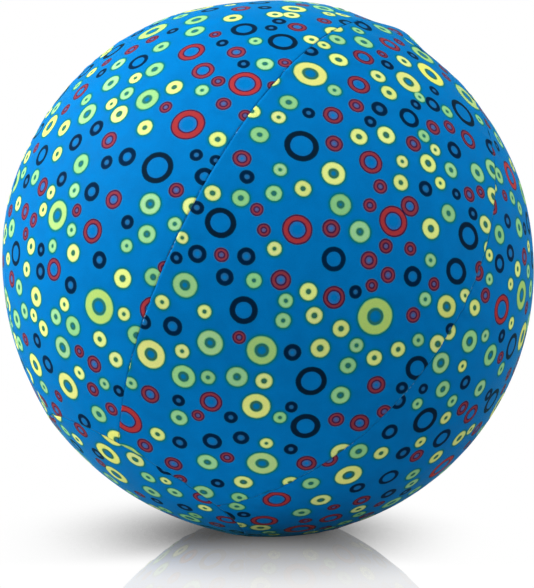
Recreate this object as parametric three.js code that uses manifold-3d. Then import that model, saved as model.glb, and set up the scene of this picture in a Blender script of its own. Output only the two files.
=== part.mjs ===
// Balloon ball: a cloth cover sewn from gores and two round caps, kept round by a latex balloon inside it.
// Millimetres, +Z up. The ball lies as it settled on a floor, on a small flat foot whose middle is the origin.
// Inside the ball's own group +Z runs through the middle of the upper cap.

import * as THREE from 'three';
import { mergeVertices } from 'three/addons/utils/BufferGeometryUtils.js';
import Module from 'manifold-3d';

const wasm = await Module();
wasm.setup();

// Sizes of the ball
const ballRadius = 150;
const footRadius = 24;
const goreCount = 6;
const capRadius = 64.5;
const seamRise = 1.1;
const seamReach = 16;

// Sizes of the cloth, the latex and the thread
const clothThickness = 0.8;
const latexThickness = 0.6;
const threadDiameter = 0.6;
const layerGap = 0.3;

// How the ball lies, in degrees
const poleTilt = 35.5;
const poleHeading = 31;
const poleSpin = 101.4;

// Sizes of the opening in the last gore, measured along the cloth
const foldReach = 157;
const overlapLength = 30;
const joggleLength = 1.5;
const tongueLength = 32;
const tongueWidth = 76;
const tongueCorner = 14;
const hemInset = 4;
const bartackLength = 9;
const bartackWidth = 1.6;
const bartackHeight = 0.8;

// Sizes of the balloon's neck and of the hollow that it is tucked into
const hollowWidth = 40;
const hollowLength = 80;
const hollowDepth = 13;
const neckDiameter = 8;
const neckHeight = 3;
const knotDiameter = 11;
const knotHeight = 7;
const tailLength = 22;
const tailWidth = 9;
const tailThickness = 1.6;
const lipDiameter = 2.8;
const lipWidth = 13;

// How finely the round surfaces are divided
const columnsPerGore = 8;
const rowsPerGore = 16;
const ringsPerCap = 4;
const insideCoarseness = 2;
const zoneSteps = 10;
const threadSides = 5;
const threadSteps = 20;
const roundSides = 16;
const hollowSides = 20;
const hollowRings = 10;
const cornerSteps = 4;

// Angles and heights that follow from the sizes
const goreAngle = 2 * Math.PI / goreCount;
const capAngle = capRadius / ballRadius;
const seamHalfWidth = threadDiameter / 2 + layerGap;
const seamHalfAngle = seamHalfWidth / ballRadius;
const seamRadius = ballRadius + seamRise - clothThickness / 2;
const centreHeight = Math.sqrt(ballRadius ** 2 - footRadius ** 2);
const raisedDepth = -(clothThickness + layerGap);
const balloonDepth = clothThickness + layerGap;
const farAway = 2 * ballRadius;

// The turn of the ball on the floor
const ballTurn = new THREE.Quaternion().setFromEuler(new THREE.Euler(
  0,
  THREE.MathUtils.degToRad(poleTilt),
  THREE.MathUtils.degToRad(poleHeading),
  'ZYX'
));
ballTurn.multiply(new THREE.Quaternion().setFromAxisAngle(
  new THREE.Vector3(0, 0, 1),
  THREE.MathUtils.degToRad(poleSpin)
));

// Materials
const coverColour = 0x1080cc;
const clothMaterial = new THREE.MeshStandardMaterial({ color: coverColour, roughness: 0.85, metalness: 0 });
const threadMaterial = new THREE.MeshStandardMaterial({ color: 0x2c4f86, roughness: 0.7, metalness: 0 });
const latexMaterial = new THREE.MeshStandardMaterial({ color: 0xe6dfc8, roughness: 0.4, metalness: 0 });

const ball = new THREE.Group();
ball.position.z = centreHeight;
ball.quaternion.copy(ballTurn);

function toSolid(geometry) {
  geometry.deleteAttribute('normal');
  geometry.deleteAttribute('uv');
  const merged = mergeVertices(geometry);
  const vertProperties = new Float32Array(merged.attributes.position.array);
  const triVerts = new Uint32Array(merged.index.array);
  return new wasm.Manifold(new wasm.Mesh({ numProp: 3, vertProperties, triVerts }));
}

function addPiece(name, solid, material) {
  const { vertProperties, triVerts } = solid.getMesh();
  const geometry = new THREE.BufferGeometry();
  geometry.setAttribute('position', new THREE.BufferAttribute(vertProperties, 3));
  geometry.setIndex(new THREE.BufferAttribute(triVerts, 1));
  const mesh = new THREE.Mesh(geometry, material);
  mesh.name = name;
  ball.add(mesh);
}

// A direction from the middle of the ball, by its angle from the upper cap's middle and its angle round
function direction(polar, azimuth) {
  const fromAxis = Math.sin(polar);
  return new THREE.Vector3(fromAxis * Math.cos(azimuth), fromAxis * Math.sin(azimuth), Math.cos(polar));
}

// The skin: every layer of the ball has the same form, with the cloth a little flatter between the seams
function seamDistance(polar, azimuth) {
  const fromPole = Math.min(polar, Math.PI - polar);
  const toCapSeam = Math.abs(fromPole - capAngle) * ballRadius;
  if (fromPole < capAngle) {
    return toCapSeam;
  }
  const turns = azimuth / goreAngle;
  const toGoreSeam = Math.abs(turns - Math.round(turns)) * goreAngle * ballRadius * Math.sin(polar);
  return Math.min(toCapSeam, toGoreSeam);
}

function skinPoint(polar, azimuth, depth) {
  const rise = seamRise * Math.exp(-seamDistance(polar, azimuth) / seamReach);
  return direction(polar, azimuth).multiplyScalar(ballRadius + rise - depth);
}

// Stations crowd towards the seams, where the skin bends most
function crowded(index, count) {
  return Math.sin(Math.PI / 2 * index / count);
}

function polarStations(coarseness) {
  const stations = [];
  const rings = ringsPerCap / coarseness;
  for (let ring = 1; ring < rings; ring += 1) {
    stations.push(capAngle * crowded(ring, rings));
  }
  const halfRows = rowsPerGore / 2 / coarseness;
  for (let row = -halfRows; row <= halfRows; row += 1) {
    stations.push(Math.PI / 2 + (Math.PI / 2 - capAngle) * crowded(row, halfRows));
  }
  for (let ring = rings - 1; ring > 0; ring -= 1) {
    stations.push(Math.PI - capAngle * crowded(ring, rings));
  }
  return stations;
}

function azimuthStations(coarseness) {
  const stations = [];
  const halfColumns = columnsPerGore / 2 / coarseness;
  for (let gore = 0; gore < goreCount; gore += 1) {
    for (let column = -halfColumns; column < halfColumns; column += 1) {
      stations.push(goreAngle * (gore + 0.5 + 0.5 * crowded(column, halfColumns)));
    }
  }
  return stations;
}

function skinGeometry(depth, coarseness) {
  const rings = polarStations(coarseness);
  const columns = azimuthStations(coarseness);
  const points = [skinPoint(0, 0, depth)];
  for (const polar of rings) {
    for (const azimuth of columns) {
      points.push(skinPoint(polar, azimuth, depth));
    }
  }
  points.push(skinPoint(Math.PI, 0, depth));
  const lastPoint = points.length - 1;
  const at = (ring, column) => 1 + ring * columns.length + column % columns.length;
  const triangles = [];
  for (let column = 0; column < columns.length; column += 1) {
    triangles.push(0, at(0, column), at(0, column + 1));
    triangles.push(lastPoint, at(rings.length - 1, column + 1), at(rings.length - 1, column));
    for (let ring = 0; ring < rings.length - 1; ring += 1) {
      triangles.push(at(ring, column), at(ring + 1, column), at(ring + 1, column + 1));
      triangles.push(at(ring, column), at(ring + 1, column + 1), at(ring, column + 1));
    }
  }
  const geometry = new THREE.BufferGeometry().setFromPoints(points);
  geometry.setIndex(triangles);
  return geometry;
}

// Everything below the floor, raised by the layers that lie under the one at this depth
function floorBlock(depth) {
  const geometry = new THREE.BoxGeometry(2 * farAway, 2 * farAway, farAway);
  geometry.translate(0, 0, -centreHeight + depth - farAway / 2);
  geometry.applyQuaternion(ballTurn.clone().invert());
  return toSolid(geometry);
}

// The whole ball inside the surface at this depth, flat where it stands
function skin(depth, coarseness = 1) {
  return toSolid(skinGeometry(depth, coarseness)).subtract(floorBlock(depth));
}

function layer(outerDepth, innerDepth) {
  return skin(outerDepth).subtract(skin(innerDepth));
}

// All space between two cones about the poles' axis
function zone(fromPolar, toPolar) {
  const near = ballRadius / 2;
  const profile = [];
  const addArc = (radius, from, to) => {
    for (let step = 0; step <= zoneSteps; step += 1) {
      const polar = from + (to - from) * step / zoneSteps;
      profile.push(new THREE.Vector2(radius * Math.sin(polar), radius * Math.cos(polar)));
    }
  };
  addArc(near, fromPolar, toPolar);
  addArc(farAway, toPolar, fromPolar);
  if (fromPolar > 0) {
    profile.push(profile[0].clone());
  }
  const geometry = new THREE.LatheGeometry(profile, goreCount * columnsPerGore);
  geometry.rotateX(Math.PI / 2);
  return toSolid(geometry);
}

// All space between the two seams of one gore, less a margin at each
function sector(gore, margin) {
  const apex = margin / Math.sin(goreAngle / 2);
  const side = new THREE.Vector2(Math.cos(goreAngle / 2), Math.sin(goreAngle / 2)).multiplyScalar(farAway);
  const shape = new THREE.Shape();
  shape.moveTo(apex, 0);
  shape.lineTo(apex + side.x, -side.y);
  shape.lineTo(apex + side.x, side.y);
  shape.closePath();
  const geometry = new THREE.ExtrudeGeometry(shape, { depth: 2 * farAway, bevelEnabled: false });
  geometry.translate(0, 0, -farAway);
  geometry.rotateZ((gore + 0.5) * goreAngle);
  return toSolid(geometry);
}

// Cloth pieces
const cloth = layer(0, clothThickness);
const belowUpperCap = zone(0, capAngle + seamHalfAngle);
const aboveLowerSeam = zone(0, Math.PI - capAngle - seamHalfAngle);
const goreZone = aboveLowerSeam.subtract(belowUpperCap);

function gorePart(solid, gore) {
  return solid.intersect(goreZone).intersect(sector(gore, seamHalfWidth));
}

for (let gore = 0; gore < goreCount - 1; gore += 1) {
  addPiece(`gore_${gore + 1}`, gorePart(cloth, gore), clothMaterial);
}
addPiece('cap_upper', cloth.intersect(zone(0, capAngle - seamHalfAngle)), clothMaterial);
addPiece('cap_lower', cloth.subtract(zone(0, Math.PI - capAngle + seamHalfAngle)), clothMaterial);

// The opening lies in the last gore, and its frame stands on the middle of the fold line:
// X across the gore, Y down it towards the lower cap, Z out of the ball
const openingGore = goreCount - 1;
const openingAzimuth = (openingGore + 0.5) * goreAngle;

function goreFrame(reach) {
  const polar = reach / ballRadius;
  const outward = direction(polar, openingAzimuth);
  const down = direction(polar + Math.PI / 2, openingAzimuth);
  const across = new THREE.Vector3().crossVectors(down, outward);
  return new THREE.Matrix4().makeBasis(across, down, outward);
}

// All space on the lower cap's side of a straight line across the gore
function beyond(reach) {
  const geometry = new THREE.BoxGeometry(2 * farAway, farAway, 2 * farAway);
  geometry.translate(0, farAway / 2, 0);
  geometry.applyMatrix4(goreFrame(reach));
  return toSolid(geometry);
}

// A flat outline on the fold line's frame, carried right through the cloth
function throughCloth(shape) {
  const geometry = new THREE.ExtrudeGeometry(shape, {
    depth: ballRadius,
    bevelEnabled: false,
    curveSegments: cornerSteps
  });
  geometry.translate(0, 0, ballRadius / 2);
  geometry.applyMatrix4(goreFrame(foldReach));
  return toSolid(geometry);
}

function tongueShape(inset) {
  const side = tongueWidth / 2 - inset;
  const end = tongueLength - inset;
  const corner = tongueCorner - inset;
  const start = -tongueLength;
  const shape = new THREE.Shape();
  shape.moveTo(-side, start);
  shape.lineTo(side, start);
  shape.lineTo(side, end - corner);
  shape.absarc(side - corner, end - corner, corner, 0, Math.PI / 2, false);
  shape.lineTo(-side + corner, end);
  shape.absarc(-side + corner, end - corner, corner, Math.PI / 2, Math.PI, false);
  shape.closePath();
  return shape;
}

function rectangle(left, right, from, to) {
  const shape = new THREE.Shape();
  shape.moveTo(left, from);
  shape.lineTo(right, from);
  shape.lineTo(right, to);
  shape.lineTo(left, to);
  shape.closePath();
  return shape;
}

// The inner half lies flat in the cover, and its hem ends under the outer half
const innerHemReach = foldReach - overlapLength;
const joggleReach = innerHemReach - layerGap;
const innerHalf = gorePart(cloth, openingGore).intersect(beyond(innerHemReach));
addPiece('opening_half_inner', innerHalf, clothMaterial);

// The outer half steps over the inner one and ends at the fold line
const raised = gorePart(layer(raisedDepth, -layerGap), openingGore);
const step = gorePart(layer(raisedDepth, clothThickness), openingGore)
  .intersect(beyond(joggleReach - joggleLength))
  .subtract(beyond(joggleReach));
const outerHalf = gorePart(cloth, openingGore)
  .subtract(beyond(joggleReach - joggleLength / 2))
  .add(step)
  .add(raised.intersect(beyond(joggleReach - joggleLength / 2)).subtract(beyond(foldReach - layerGap / 2)));
addPiece('opening_half_outer', outerHalf, clothMaterial);

// The flap is the outer half's free tongue
const pastFold = beyond(foldReach + layerGap / 2);
const flap = raised.intersect(pastFold).intersect(throughCloth(tongueShape(0)));
addPiece('opening_flap', flap, clothMaterial);

// Seam threads lie in the seams, level with the cloth
class SeamArc extends THREE.Curve {
  constructor(azimuth) {
    super();
    const trim = seamHalfAngle + layerGap / ballRadius;
    this.azimuth = azimuth;
    this.start = capAngle + trim;
    this.sweep = Math.PI - 2 * this.start;
  }

  getPoint(t, target = new THREE.Vector3()) {
    return target.copy(direction(this.start + this.sweep * t, this.azimuth)).multiplyScalar(seamRadius);
  }
}

function threadSection() {
  const corners = [];
  for (let side = 0; side < threadSides; side += 1) {
    const angle = 2 * Math.PI * side / threadSides;
    corners.push(new THREE.Vector2(Math.cos(angle), Math.sin(angle)).multiplyScalar(threadDiameter / 2));
  }
  return new THREE.Shape(corners);
}

function arcThread(azimuth) {
  return new THREE.ExtrudeGeometry(threadSection(), {
    steps: threadSteps,
    extrudePath: new SeamArc(azimuth)
  });
}

for (let gore = 0; gore < goreCount; gore += 1) {
  addPiece(`gore_seam_thread_${gore + 1}`, toSolid(arcThread(gore * goreAngle)), threadMaterial);
}

function capThread(side) {
  const geometry = new THREE.TorusGeometry(
    seamRadius * Math.sin(capAngle),
    threadDiameter / 2,
    threadSides,
    goreCount * columnsPerGore
  );
  geometry.translate(0, 0, side * seamRadius * Math.cos(capAngle));
  return toSolid(geometry);
}

addPiece('cap_seam_thread_upper', capThread(1), threadMaterial);
addPiece('cap_seam_thread_lower', capThread(-1), threadMaterial);

// Stitches on top of the outer half
const stitchBase = raisedDepth - layerGap;
const stitchLayer = gorePart(layer(stitchBase - threadDiameter, stitchBase), openingGore);
const flapStitch = stitchLayer
  .intersect(beyond(foldReach + layerGap))
  .intersect(throughCloth(tongueShape(hemInset)))
  .subtract(throughCloth(tongueShape(hemInset + threadDiameter)));
addPiece('flap_hem_thread', flapStitch, threadMaterial);

const bartackMiddle = tongueWidth / 2 + bartackWidth;
const bartackEnd = -hemInset / 2;
const tackLayer = gorePart(layer(stitchBase - bartackHeight, stitchBase), openingGore);
const lineStart = bartackMiddle + bartackWidth / 2 + layerGap;
for (const [name, side] of [['left', -1], ['right', 1]]) {
  const edges = [side * (bartackMiddle - bartackWidth / 2), side * (bartackMiddle + bartackWidth / 2)];
  const tack = rectangle(Math.min(...edges), Math.max(...edges), bartackEnd - bartackLength, bartackEnd);
  addPiece(`bartack_${name}`, tackLayer.intersect(throughCloth(tack)), threadMaterial);
  const ends = [side * lineStart, side * farAway / 2];
  const line = rectangle(Math.min(...ends), Math.max(...ends), -hemInset - threadDiameter, -hemInset);
  addPiece(`overlap_thread_${name}`, stitchLayer.intersect(throughCloth(line)), threadMaterial);
}

// The balloon fills the cover, with a hollow under the mouth where its knot is pushed in
function hollow(growth) {
  const geometry = new THREE.SphereGeometry(1, hollowSides, hollowRings);
  geometry.scale(hollowWidth / 2 + growth, hollowLength / 2 + growth, hollowDepth + growth);
  geometry.translate(0, 0, ballRadius - balloonDepth);
  geometry.applyMatrix4(goreFrame(foldReach));
  return toSolid(geometry);
}

function standingCylinder(diameter, from, to) {
  const geometry = new THREE.CylinderGeometry(diameter / 2, diameter / 2, to - from, roundSides);
  geometry.rotateX(Math.PI / 2);
  geometry.translate(0, 0, (from + to) / 2);
  geometry.applyMatrix4(goreFrame(foldReach));
  return toSolid(geometry);
}

const hollowFloor = ballRadius - balloonDepth - hollowDepth;
const neckTop = hollowFloor + neckHeight;
const boreDiameter = neckDiameter - 2 * latexThickness;
const balloon = skin(balloonDepth)
  .subtract(hollow(0))
  .add(standingCylinder(neckDiameter, hollowFloor - latexThickness, neckTop))
  .subtract(skin(balloonDepth + latexThickness, insideCoarseness).subtract(hollow(latexThickness)))
  .subtract(standingCylinder(boreDiameter, hollowFloor - ballRadius / 2, neckTop + neckHeight));
addPiece('balloon', balloon, latexMaterial);

// The neck is tied off in a knot, and the tail with its rolled lip lies down in the hollow
const knotBase = neckTop + layerGap;
const knotGeometry = new THREE.SphereGeometry(knotDiameter / 2, roundSides, roundSides / 2);
knotGeometry.scale(1, 1, knotHeight / knotDiameter);
knotGeometry.translate(0, 0, knotBase + knotHeight / 2);
knotGeometry.applyMatrix4(goreFrame(foldReach));

const tailGeometry = new THREE.BoxGeometry(tailWidth, tailLength, tailThickness);
tailGeometry.translate(0, tailLength / 2, knotBase + knotHeight / 2);
tailGeometry.applyMatrix4(goreFrame(foldReach));

const lipGeometry = new THREE.CapsuleGeometry(lipDiameter / 2, lipWidth - lipDiameter, cornerSteps, roundSides / 2);
lipGeometry.rotateZ(Math.PI / 2);
lipGeometry.translate(0, tailLength, knotBase + knotHeight / 2);
lipGeometry.applyMatrix4(goreFrame(foldReach));

const knot = toSolid(knotGeometry).add(toSolid(tailGeometry)).add(toSolid(lipGeometry));
addPiece('balloon_knot', knot, latexMaterial);

const part = new THREE.Group();
part.add(ball);

export default part;
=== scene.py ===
import math

import bpy
import numpy as np
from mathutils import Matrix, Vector


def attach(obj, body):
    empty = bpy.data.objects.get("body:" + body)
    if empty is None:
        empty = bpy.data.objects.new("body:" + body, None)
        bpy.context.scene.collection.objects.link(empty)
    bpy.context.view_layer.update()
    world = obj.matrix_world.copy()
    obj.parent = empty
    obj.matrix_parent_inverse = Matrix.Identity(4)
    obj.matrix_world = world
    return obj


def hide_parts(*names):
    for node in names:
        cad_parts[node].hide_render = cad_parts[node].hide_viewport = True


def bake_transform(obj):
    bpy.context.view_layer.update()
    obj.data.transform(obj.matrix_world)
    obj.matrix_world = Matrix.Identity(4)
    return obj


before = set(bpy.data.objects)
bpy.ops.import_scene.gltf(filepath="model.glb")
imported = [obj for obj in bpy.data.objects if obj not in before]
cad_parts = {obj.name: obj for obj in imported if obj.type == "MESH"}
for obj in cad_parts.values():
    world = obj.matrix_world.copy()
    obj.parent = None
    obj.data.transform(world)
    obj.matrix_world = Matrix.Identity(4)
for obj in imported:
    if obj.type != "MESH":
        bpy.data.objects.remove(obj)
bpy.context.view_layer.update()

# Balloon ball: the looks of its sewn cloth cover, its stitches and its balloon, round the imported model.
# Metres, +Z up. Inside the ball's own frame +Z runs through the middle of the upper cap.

MM = 0.001

# Sizes of the ball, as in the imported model
BALL_RADIUS = 150 * MM
FOOT_RADIUS = 24 * MM
GORE_COUNT = 6
CAP_RADIUS = 64.5 * MM
SEAM_RISE = 1.1 * MM
SEAM_REACH = 16 * MM
FOLD_REACH = 157 * MM
OVERLAP = 30 * MM
TONGUE_LENGTH = 32 * MM
TONGUE_WIDTH = 76 * MM
TONGUE_CORNER = 14 * MM
RAISED = 0.9 * MM

# How the ball lies, in degrees
POLE_TILT = 35.5
POLE_HEADING = 31
POLE_SPIN = 101.4

GORE_ANGLE = 2 * math.pi / GORE_COUNT
CAP_ANGLE = CAP_RADIUS / BALL_RADIUS
CENTRE_HEIGHT = math.sqrt(BALL_RADIUS**2 - FOOT_RADIUS**2)
OPENING_GORE = GORE_COUNT - 1
FOLD_POLAR = FOLD_REACH / BALL_RADIUS

# Details of the cloth that the solids leave out
CLOTH_THICKNESS = 0.45 * MM
WEAVE_PITCH = 0.62 * MM
STITCH = 2.6 * MM
SEAM_MARGIN = 0.03 * MM
GROOVE_DEPTH = 0.17 * MM
GROOVE_WIDTH = 0.5 * MM
PUCKER_HEIGHT = 0.34 * MM
PUCKER_REACH = 6 * MM
PULL_HEIGHT = 0.3 * MM
PULL_REACH = 20 * MM
PULL_SLANT = 0.45
CAP_FADE = 6 * MM
FLOOR_SOFTNESS = 0.15 * MM

# Wave lengths along a seam in millimetres: of the puckers, of the pull lines, and of the stretches where
# both are strong or weak
PUCKER_WAVES = (5.7, 8.3, 11.9)
PULL_WAVES = (19, 27, 41)
STRENGTH_WAVES = (47, 83, 131)
GORE_SEAM_SEED = 100
UPPER_CAP_SEED = 900
LOWER_CAP_SEED = 950

# The cover as a whole is a little longer one way, seen from the front, and no cover is quite even. Each
# uneven spot has its angle from the pole and its angle round, in degrees, its height and its reach.
OVAL_HEIGHT = 1.3 * MM
OVAL_ANGLE = 117.7
UNEVEN_SPOTS = (
    (18.4, 135.8, 3.2 * MM, 9 * MM),
    (41.7, 73.4, -1.2 * MM, 18 * MM),
    (41.4, 205.2, 0.8 * MM, 24 * MM),
    (107.5, 51.9, 0.9 * MM, 22 * MM),
)


# The ball's own frame

def turn_about(axis, degrees):
    angle = math.radians(degrees)
    c, s = math.cos(angle), math.sin(angle)
    if axis == "Z":
        return np.array([[c, -s, 0], [s, c, 0], [0, 0, 1]])
    return np.array([[c, 0, s], [0, 1, 0], [-s, 0, c]])


BALL_TURN = turn_about("Z", POLE_HEADING) @ turn_about("Y", POLE_TILT) @ turn_about("Z", POLE_SPIN)
CENTRE = np.array([0, 0, CENTRE_HEIGHT])


def direction(polar, azimuth):
    from_axis = np.sin(polar)
    return np.stack([from_axis * np.cos(azimuth), from_axis * np.sin(azimuth), np.cos(polar)], axis=-1)


def to_row(points):
    """From the ball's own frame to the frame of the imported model."""
    return points @ BALL_TURN.T + CENTRE


def smooth_step(values, low, high):
    t = np.clip((values - low) / (high - low), 0, 1)
    return t * t * (3 - 2 * t)


# The skin: a low crease with a fine groove along each seam, and the puckers and pulls that a seam makes

def whole_form(towards):
    """How far the cover as a whole stands out from a true ball, in a direction of the ball's own frame."""
    in_row = towards @ BALL_TURN.T
    angle = math.radians(OVAL_ANGLE)
    long_way = in_row[..., 0] * math.cos(angle) + in_row[..., 2] * math.sin(angle)
    short_way = in_row[..., 0] * math.sin(angle) - in_row[..., 2] * math.cos(angle)
    form = OVAL_HEIGHT * (long_way**2 - short_way**2)
    for polar, azimuth, height, reach in UNEVEN_SPOTS:
        spot = direction(math.radians(polar), math.radians(azimuth))
        away = np.linalg.norm(towards - spot, axis=-1) * BALL_RADIUS
        form = form + height * np.exp(-0.5 * (away / reach) ** 2)
    return form


def waves(seed, lengths):
    """A smooth wandering line of unit height, as a function of the distance along a seam."""
    rng = np.random.default_rng(seed)
    phases = rng.uniform(0, 2 * math.pi, len(lengths))
    heights = rng.uniform(0.6, 1.0, len(lengths))

    def line(along):
        parts = [h * np.sin(2 * math.pi * along / (n * MM) + p) for h, n, p in zip(heights, lengths, phases)]
        return sum(parts) / math.sqrt(len(lengths))

    return line


def seam_relief(seed, along, away, side, closed):
    """How far the cloth stands out beside a seam: short puckers close to it and longer pull lines."""
    puckered = waves(seed, PUCKER_WAVES)
    where = waves(seed + 1, STRENGTH_WAVES)
    pulled = waves(seed + 2, PULL_WAVES)
    strength = np.clip(0.55 + 0.6 * where(along), 0.1, 1.3)
    puckers = PUCKER_HEIGHT * strength * puckered(along) * np.exp(-away / PUCKER_REACH)
    slanted = pulled(along + PULL_SLANT * side * away)
    pulls = PULL_HEIGHT * strength * slanted * np.exp(-away / PULL_REACH)
    return (puckers + pulls) * closed


def from_seams(polar, azimuth):
    """The angle from the nearer pole, the turns in gores, and the distances from a cap and a gore seam."""
    from_pole = np.minimum(polar, math.pi - polar)
    cap_away = np.abs(from_pole - CAP_ANGLE) * BALL_RADIUS
    turns = azimuth / GORE_ANGLE
    gore_away = np.abs(turns - np.round(turns)) * GORE_ANGLE * BALL_RADIUS * np.sin(polar)
    return from_pole, turns, cap_away, gore_away


def along_cap_seam(azimuth):
    return azimuth * BALL_RADIUS * math.sin(CAP_ANGLE)


def skin(polar, azimuth, lift=0.0):
    """Points of the cloth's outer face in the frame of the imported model."""
    from_pole, turns, cap_away, gore_away = from_seams(polar, azimuth)
    cap_side = np.where(from_pole < CAP_ANGLE, -1.0, 1.0)
    seam = np.round(turns)
    in_gore = cap_side > 0
    away = np.where(in_gore, np.minimum(cap_away, gore_away), cap_away)
    towards = direction(polar, azimuth)
    height = whole_form(towards) + SEAM_RISE * np.exp(-away / SEAM_REACH)
    height = height - GROOVE_DEPTH * np.exp(-away / GROOVE_WIDTH)
    upper = polar < math.pi / 2
    for top, seed in ((True, UPPER_CAP_SEED), (False, LOWER_CAP_SEED)):
        relief = seam_relief(seed, along_cap_seam(azimuth), cap_away, cap_side, 1.0)
        height = height + np.where(upper == top, relief, 0)
    side = np.sign(turns - seam)
    fade = np.where(in_gore, 1 - np.exp(-cap_away / CAP_FADE), 0)
    for index in range(GORE_COUNT):
        relief = seam_relief(GORE_SEAM_SEED + 10 * index, polar * BALL_RADIUS, gore_away, side, fade)
        height = height + np.where(seam % GORE_COUNT == index, relief, 0)
    points = to_row(towards * (BALL_RADIUS + height + lift)[..., None])
    # What would be below the floor lies on it
    rest = FLOOR_SOFTNESS * np.log1p(np.exp(np.clip(points[..., 2] / FLOOR_SOFTNESS, -60, 60)))
    points[..., 2] = np.where(points[..., 2] > 20 * FLOOR_SOFTNESS, points[..., 2], rest)
    return points


# The flat cloth of a gore: distances across and along its middle line

def gore_flat(polar, azimuth, gore):
    off = azimuth - (gore + 0.5) * GORE_ANGLE
    across = BALL_RADIUS * np.arcsin(np.sin(polar) * np.sin(off))
    along = BALL_RADIUS * np.arctan2(np.cos(polar), np.sin(polar) * np.cos(off))
    return np.stack([across, along], axis=-1)


def gore_unflat(across, along, gore):
    """The way back from flat cloth to angles on the ball."""
    side = np.sin(across / BALL_RADIUS)
    forward = np.cos(across / BALL_RADIUS) * np.cos(along / BALL_RADIUS)
    up = np.cos(across / BALL_RADIUS) * np.sin(along / BALL_RADIUS)
    return np.arccos(np.clip(up, -1, 1)), (gore + 0.5) * GORE_ANGLE + np.arctan2(side, forward)


# The print: rings of four inks, scattered without touching much, drawn anew for each piece of cloth

class Ink:
    """One colour of print: its colour in small and in large rings, that of its edges, the widths in
    millimetres of its edges and of the trap line round them, what shows in its holes, their size and the
    ink's share of all rings."""

    def __init__(self, small, large, rim, rim_width, trap_width, veil, hole, share):
        self.small = small
        self.large = large
        self.rim = rim
        self.rim_width = rim_width * MM
        self.trap_width = trap_width * MM
        self.veil = veil
        self.hole = hole
        self.share = share
        self.light = small[1] > 0.3


YELLOW = Ink(
    small=(0.63, 0.71, 0.20), large=(0.68, 0.69, 0.13), rim=(0.36, 0.56, 0.17), rim_width=0.4,
    trap_width=1.0, veil=(0.035, 0.125, 0.04), hole=0.98, share=0.27,
)
GREEN = Ink(
    small=(0.23, 0.53, 0.225), large=(0.37, 0.55, 0.13), rim=(0.15, 0.43, 0.17), rim_width=0.4,
    trap_width=1.0, veil=(0.022, 0.13, 0.075), hole=0.97, share=0.24,
)
RED = Ink(
    small=(0.215, 0.033, 0.050), large=(0.34, 0.031, 0.036), rim=(0.055, 0.012, 0.050), rim_width=0.75,
    trap_width=0.4, veil=(0.11, 0.055, 0.13), hole=1.1, share=0.25,
)
NAVY = Ink(
    small=(0.0, 0.014, 0.044), large=(0.002, 0.013, 0.028), rim=(0.0, 0.020, 0.075), rim_width=0.4,
    trap_width=0.3, veil=(0.022, 0.08, 0.155), hole=1.3, share=0.21,
)
INKS = (YELLOW, GREEN, RED, NAVY)
GROUND = (0.0, 0.147, 0.418)
UNPRINTED = (0.34, 0.58, 0.78)
TRAP_TEAL = (0.0, 0.14, 0.14)
HALO_TINT = (1, 0.97, 0.72)

# Up to the first radius a ring has its ink's small colour, and from the second on its large one
SMALL_RING = 5.4 * MM
LARGE_RING = 9.0 * MM
# Between these radii the holes of dark rings come to show mostly bare ground
VEILED_RING = 4.3 * MM
BARE_RING = 6.2 * MM
BARE_SHARE = 0.85
# How far the inks vary from ring to ring, and how far the light ones fade
INK_SHADES = (0.9, 1.06)
INK_FADE = 0.12
FADED = 0.8
HALO_REACH = 2.6 * MM
# A trap line from the first width to the second counts as narrow to wide
NARROW_TRAP = 0.5 * MM
WIDE_TRAP = 0.9 * MM
# Each size class: the smallest and largest diameter in millimetres, the hole's share and how many on a
# square decimetre
RING_SIZES = (
    ((16.9, 19.4), 0.50, 1.6),
    ((14.0, 16.5), 0.49, 2.9),
    ((11.6, 13.4), 0.48, 4.7),
    ((9.6, 11.0), 0.40, 8.6),
    ((8.2, 9.4), 0.36, 11.0),
    ((6.5, 7.8), 0.31, 14.0),
)
HOLE_SPREAD = (0.94, 1.06)
LARGEST_HOLE = 0.68
RING_GAP = 1.5 * MM
ROOM_WANTED = 5 * MM
TOUCH_SHARE = 0.035
TOUCH_OVERLAP = 1.0 * MM
PLACES_TRIED = 80
PLACES_KEPT = 6
PRINT_MARGIN = 12 * MM
RING_SLOTS = "abc"


def scatter_rings(seed, low, high):
    """Rings on flat cloth between two corners, as rows of centre, radius and hole share, and their inks."""
    rng = np.random.default_rng(seed)
    decimetres = np.prod((high - low) / 0.1)
    shares = np.array([ink.share for ink in INKS])
    rings, inks = np.zeros((0, 4)), []
    for (smallest, largest), hole, per_decimetre in RING_SIZES:
        for _ in range(round(per_decimetre * decimetres)):
            radius = rng.uniform(smallest, largest) * MM / 2
            touching = rng.random() < TOUCH_SHARE
            ink = INKS[rng.choice(len(INKS), p=shares / shares.sum())]
            places = rng.uniform(low, high, (PLACES_TRIED, 2))
            apart = np.linalg.norm(places[:, None] - rings[None, :, :2], axis=2)
            room = np.min(apart - rings[None, :, 2] - radius, axis=1, initial=ROOM_WANTED)
            if touching:
                fits = np.flatnonzero((room > -TOUCH_OVERLAP) & (room < 0))
            else:
                fits = np.flatnonzero(room > RING_GAP)
            if len(fits) == 0:
                continue
            few = fits[:PLACES_KEPT]
            best = few[np.argmax(room[few])]
            share = min(hole * ink.hole * rng.uniform(*HOLE_SPREAD), LARGEST_HOLE)
            rings = np.vstack([rings, [*places[best], radius, share]])
            inks.append(ink)
    return rings, inks


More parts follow.
